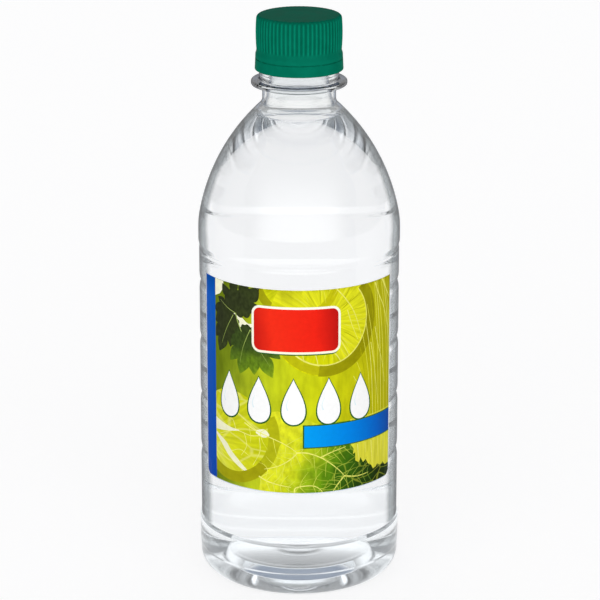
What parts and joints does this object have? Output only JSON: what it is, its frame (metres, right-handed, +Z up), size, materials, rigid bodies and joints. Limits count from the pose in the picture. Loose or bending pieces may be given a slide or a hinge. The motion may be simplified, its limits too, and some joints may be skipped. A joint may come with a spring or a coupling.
{
  "type": "vinegar bottle",
  "caption": "Clear plastic bottle of clear vinegar, with a ribbed screw cap and tamper band, a domed shoulder, ring grooves and a curved front label.",
  "frame": {"origin": "centre of the bottle, in the plane of the foot ring that it stands on", "axes": "+Z up along the bottle's axis; the label faces -Y"},
  "size_m": [0.0686, 0.0686, 0.195],
  "materials": {
    "bottle": "clear moulded plastic, glossy",
    "vinegar": "clear colourless liquid",
    "cap": "dark green moulded plastic, satin",
    "label": "printed label, satin"
  },
  "bodies": {
    "root": {"bottle": "bottle", "vinegar": "vinegar", "cap": "cap", "front_label": "label"}
  },
  "joints": []
}
